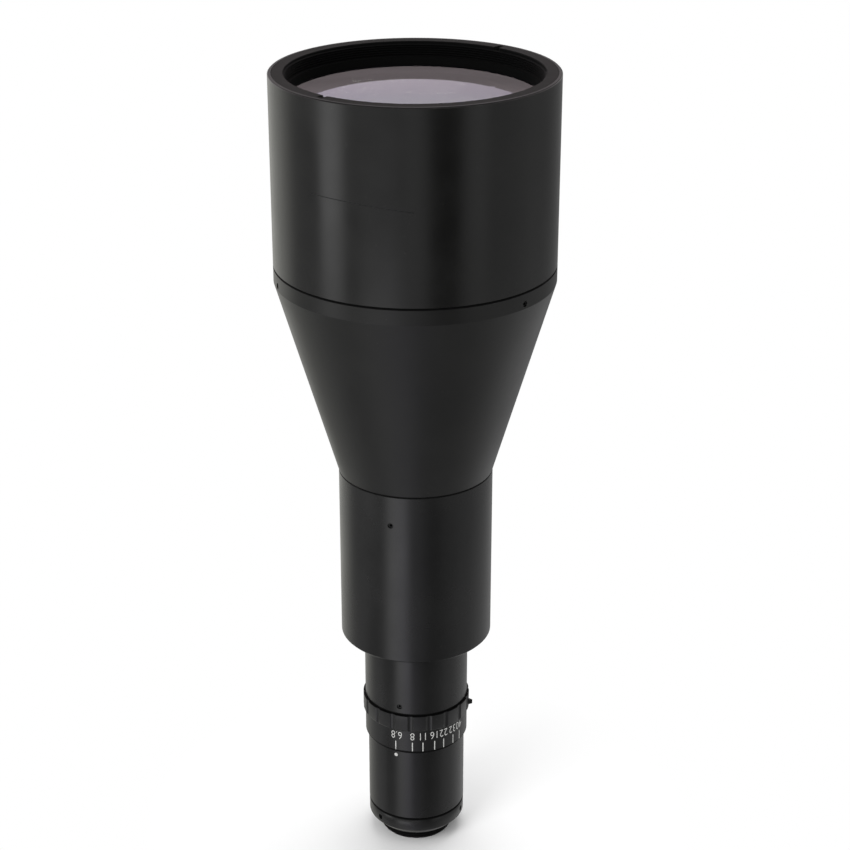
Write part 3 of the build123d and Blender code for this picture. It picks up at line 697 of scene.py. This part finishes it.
def coated_glass(name, film, tint, hollow=0.0, lean_forward=0.0):
    """Polished glass with an anti-reflection coating.

    Its coat mirrors the room as the glass's hollow far face would: like a bowl whose slope
    grows by hollow for each metre off the axis, leaning towards the front side.
    """
    material, tree, shader = new_material(name)
    place = add(tree, "ShaderNodeTexCoord").outputs["Object"]
    split = add(tree, "ShaderNodeSeparateXYZ", {0: place}).outputs
    lean = {
        0: maths(tree, "MULTIPLY", split[0], -hollow),
        1: maths(tree, "SUBTRACT", maths(tree, "MULTIPLY", split[1], -hollow), lean_forward),
        2: 1.0,
    }
    bowl = add(tree, "ShaderNodeCombineXYZ", lean).outputs[0]
    bowl = add(tree, "ShaderNodeVectorMath", {0: bowl}, operation="NORMALIZE").outputs[0]
    tree.links.new(bowl, shader.inputs["Coat Normal"])
    shader.inputs["Coat Weight"].default_value = 1.0 if hollow else 0.0
    shader.inputs["Coat IOR"].default_value = 1.62
    shader.inputs["Coat Roughness"].default_value = 0.06
    shader.inputs["Base Color"].default_value = (*tint, 1)
    shader.inputs["Transmission Weight"].default_value = 1.0
    shader.inputs["IOR"].default_value = 1.52
    shader.inputs["Roughness"].default_value = 0.01
    shader.inputs["Thin Film Thickness"].default_value = film
    shader.inputs["Thin Film IOR"].default_value = 1.38
    return material


def dark_metal(name, effects, colour, worn_colour, roughness, metallic=1.0):
    """Blackened brass or steel of the small inner pieces and screws."""
    material, tree, shader = new_material(name)
    patches = use(tree, effects["handling"], patches_per_metre=260)[0]
    rings = use(tree, effects["turning"], marks_per_metre=5000)[0]
    skin = mix_colours(tree, patches, (*colour, 1), (*worn_colour, 1))
    tree.links.new(skin, shader.inputs["Base Color"])
    rough = spread(tree, patches, 0, 1, roughness, roughness + 0.12)
    tree.links.new(rough, shader.inputs["Roughness"])
    shader.inputs["Metallic"].default_value = metallic
    bump = add(tree, "ShaderNodeBump", {"Strength": 0.1, "Distance": 0.0001, "Height": rings})
    tree.links.new(bump.outputs[0], shader.inputs["Normal"])
    return material


def engraving_paint(name, effects):
    """White paint of the scale, a little thin in places."""
    material, tree, shader = new_material(name)
    thin = use(tree, effects["handling"], patches_per_metre=1500)[0]
    skin = mix_colours(tree, thin, (0.62, 0.62, 0.6, 1), (0.42, 0.42, 0.41, 1))
    tree.links.new(skin, shader.inputs["Base Color"])
    tree.links.new(spread(tree, thin, 0, 1, 0.5, 0.65), shader.inputs["Roughness"])
    return material


def dress(nodes, names, material):
    """Give some of the CAD's pieces one finish."""
    for name in names:
        slots = nodes[name].data.materials
        slots.clear()
        slots.append(material)


# Studio


def studio_floor():
    """A pale floor, lit near the lens and plain white further out."""
    deselect()
    bpy.ops.mesh.primitive_circle_add(vertices=128, radius=FLOOR_R, fill_type="NGON")
    floor = settle("studio_floor")
    material, tree, shader = new_material("pale_floor")
    shader.inputs["Base Color"].default_value = (0.82, 0.82, 0.82, 1)
    shader.inputs["Roughness"].default_value = 0.9
    shader.inputs["Specular IOR Level"].default_value = 0.1
    white = add(tree, "ShaderNodeEmission", {"Color": (1, 1, 1, 1), "Strength": 1.0})
    place = add(tree, "ShaderNodeTexCoord").outputs["Object"]
    distance = add(tree, "ShaderNodeVectorMath", {0: place}, operation="LENGTH").outputs["Value"]
    far = spread(tree, distance, FLOOR_FADE_FROM, FLOOR_FADE_TO)
    seen = add(tree, "ShaderNodeLightPath").outputs["Is Camera Ray"]
    share = maths(tree, "MULTIPLY", far, seen)
    blend = add(tree, "ShaderNodeMixShader", {0: share, 1: shader.outputs[0]})
    tree.links.new(white.outputs[0], blend.inputs[2])
    tree.links.new(blend.outputs[0], tree.nodes["Material Output"].inputs[0])
    floor.data.materials.append(material)
    floor.visible_glossy = False
    return floor


def softbox(tree, turn, lift, bearing, width, low, high, strength):
    """A soft light seen at a bearing and between two elevations, brightest in its middle."""
    near = maths(tree, "COSINE", maths(tree, "SUBTRACT", turn, radians(bearing)))
    sockets = {0: near, 1: cos(radians(width)), 2: 1.0, 3: 0.0, 4: strength}
    across = add(
        tree, "ShaderNodeMapRange", sockets, clamp=True, interpolation_type="SMOOTHSTEP"
    ).outputs[0]
    soft = radians(SOFTBOX_EDGE)
    over = spread(tree, lift, radians(low) - soft, radians(low) + soft)
    under = spread(tree, lift, radians(high) + soft, radians(high) - soft)
    return maths(tree, "MULTIPLY", across, maths(tree, "MULTIPLY", over, under))


def studio_world():
    """Even light for colour, and softboxes for what the black skin and the glass reflect."""
    world = bpy.data.worlds.new("studio")
    bpy.context.scene.world = world
    world.use_nodes = True
    tree = world.node_tree
    background = tree.nodes["Background"]
    way = add(tree, "ShaderNodeTexCoord").outputs["Generated"]
    split = add(tree, "ShaderNodeSeparateXYZ", {0: way}).outputs
    back = maths(tree, "MULTIPLY", split[1], -1.0)
    turn = maths(tree, "ARCTAN2", split[0], back)
    lift = maths(tree, "ARCSINE", split[2])
    reflected = ROOM_LEVEL
    for box in SOFTBOXES:
        reflected = maths(tree, "ADD", reflected, softbox(tree, turn, lift, *box))
    reflected = maths(tree, "MAXIMUM", reflected, 0.0)
    path = add(tree, "ShaderNodeLightPath").outputs
    level = add(tree, "ShaderNodeMix", {2: EVEN_LIGHT}, data_type="FLOAT")
    tree.links.new(path["Is Glossy Ray"], level.inputs[0])
    tree.links.new(reflected, level.inputs[3])
    shown = add(tree, "ShaderNodeMix", {3: 1.0}, data_type="FLOAT")
    tree.links.new(path["Is Camera Ray"], shown.inputs[0])
    tree.links.new(level.outputs[0], shown.inputs[2])
    tree.links.new(shown.outputs[0], background.inputs["Strength"])
    colour = (1, 1, 1, 1)
    for *window, tint in ROOM_TINTS:
        share = softbox(tree, turn, lift, *window, 1.0)
        share = maths(tree, "MULTIPLY", share, path["Is Glossy Ray"])
        colour = mix_colours(tree, share, colour, tint)
    tree.links.new(colour, background.inputs["Color"])


def area_light(name, place, size, power):
    """A soft lamp that looks at the lens."""
    bpy.ops.object.light_add(type="AREA", location=place)
    lamp = bpy.context.object
    lamp.name = name
    lamp.data.shape = "RECTANGLE"
    lamp.data.size, lamp.data.size_y = size
    lamp.data.energy = power
    lamp.visible_glossy = False
    aim = Vector(LAMP_TARGET) - Vector(place)
    lamp.rotation_euler = aim.to_track_quat("-Z", "Y").to_euler()
    return lamp


def photo_camera():
    """The camera that took the photo, as its perspective was fitted."""
    bpy.ops.object.camera_add(location=CAMERA_PLACE, rotation=(radians(CAMERA_TILT), 0, 0))
    camera = bpy.context.object
    camera.name = "photo_camera"
    camera.data.lens = CAMERA_LENS
    camera.data.sensor_width = CAMERA_SENSOR
    bpy.context.scene.camera = camera


# Everything put together

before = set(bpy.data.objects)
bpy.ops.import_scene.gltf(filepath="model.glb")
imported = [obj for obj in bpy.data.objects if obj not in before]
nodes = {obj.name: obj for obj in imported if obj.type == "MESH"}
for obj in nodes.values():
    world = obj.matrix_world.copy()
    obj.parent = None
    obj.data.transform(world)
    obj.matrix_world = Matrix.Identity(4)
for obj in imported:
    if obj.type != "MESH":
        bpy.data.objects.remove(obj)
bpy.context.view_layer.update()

photo_camera()
studio_floor()
studio_world()
area_light("key_softbox", (-0.7, -0.9, 0.9), (0.6, 0.8), 9)
area_light("top_softbox", (0.1, 0.5, 1.3), (0.9, 0.6), 9)

effects = {
    "turning": turning_marks_group(),
    "handling": handling_group(),
    "edges": worn_edges_group(),
    "dust": dust_group(),
    # the seam shadow group paints shade into the seams
    "seam_shade": seam_shadow_group(),
    "scuff": scuff_group(),
    "bore": bore_group(),
}
satin = anodised("satin_black", effects, (0.005, 0.005, 0.0048), (0.007, 0.007, 0.0066), 0.22)
front_ring_black = anodised(
    "front_ring_black",
    effects,
    (0.01, 0.01, 0.009),
    (0.014, 0.014, 0.012),
    0.42,
    specular=0.16,
    bore_radius=0.0412,
)
cone_black = anodised(
    "cone_black", effects, (0.0045, 0.0045, 0.0043), (0.007, 0.007, 0.0066), 0.32, specular=0.45
)
barrel_black = anodised(
    "barrel_black", effects, (0.005, 0.005, 0.005), (0.007, 0.007, 0.007), 0.25
)
ring_black = anodised("ring_black", effects, (0.006, 0.006, 0.0062), (0.009, 0.009, 0.0092), 0.3)
inner_black = anodised(
    "inner_black",
    effects,
    (0.003, 0.003, 0.0034),
    (0.005, 0.005, 0.0055),
    0.6,
    marks=0.15,
    wear=0.1,
    specular=0.2,
)
brass = dark_metal("blackened_brass", effects, (0.05, 0.045, 0.035), (0.09, 0.075, 0.05), 0.4)
steel = dark_metal("black_oxide_steel", effects, (0.03, 0.03, 0.03), (0.07, 0.07, 0.07), 0.35)
leaf = dark_metal(
    "leaf_steel", effects, (0.03, 0.03, 0.033), (0.05, 0.05, 0.052), 0.45, metallic=0.6
)
front_glass = coated_glass("front_glass", 430, (1.0, 0.985, 0.99), hollow=6.5, lean_forward=0.17)
inner_glass = coated_glass("inner_glass", 400, (0.99, 0.98, 1.0))
paint = engraving_paint("engraving_paint", effects)

dress(nodes, ["front_housing"], satin)
dress(nodes, ["cone_housing"], cone_black)
dress(nodes, ["mid_barrel", "rear_barrel"], barrel_black)
dress(
    nodes,
    [
        "front_spacer_ring",
        "front_light_stop",
        "cone_light_stop",
        "middle_lens_cell",
        "middle_retaining_ring",
        "rear_spacer_ring",
        "rear_retaining_ring",
        "iris_retaining_ring",
    ],
    inner_black,
)
dress(nodes, ["iris_base_plate", "iris_cam_ring"], brass)
dress(
    nodes,
    [
        "mount_set_screws",
        "tube_set_screws",
        "mid_set_screws",
        "cone_set_screws",
        "iris_drive_screw",
        "iris_lock_screw",
    ],
    steel,
)
dress(nodes, [f"iris_blade_{index}" for index in range(1, 9)], leaf)
dress(nodes, ["front_lens"], front_glass)
dress(
    nodes,
    [
        "front_inner_lens",
        "middle_crown_lens",
        "middle_flint_lens",
        "rear_crown_lens",
        "rear_flint_lens",
        "rear_lens",
    ],
    inner_glass,
)

mount_piece = camera_mount_ring()
shade_turned(mount_piece)
mount_piece.data.materials.append(barrel_black)
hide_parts("mount_ring")
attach(mount_piece, "mount")

ring_piece = front_ring()
shade_turned(ring_piece)
ring_piece.data.materials.append(front_ring_black)
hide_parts("front_retaining_ring")
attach(ring_piece, "lens_body")

grip_piece = aperture_ring()
shade_turned(grip_piece)
grip_piece.data.materials.append(ring_black)
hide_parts("iris_ring")
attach(grip_piece, "aperture_control")

tube_piece = iris_tube_piece()
shade_turned(tube_piece)
tube_piece.data.materials.append(barrel_black)
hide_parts("iris_tube")
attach(tube_piece, "lens_body")

scale_piece = aperture_scale()
scale_piece.data.materials.append(paint)
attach(scale_piece, "aperture_control")

dot_piece = index_dot()
dot_piece.data.materials.append(paint)
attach(dot_piece, "lens_body")

bpy.context.scene.view_settings.view_transform = "Standard"
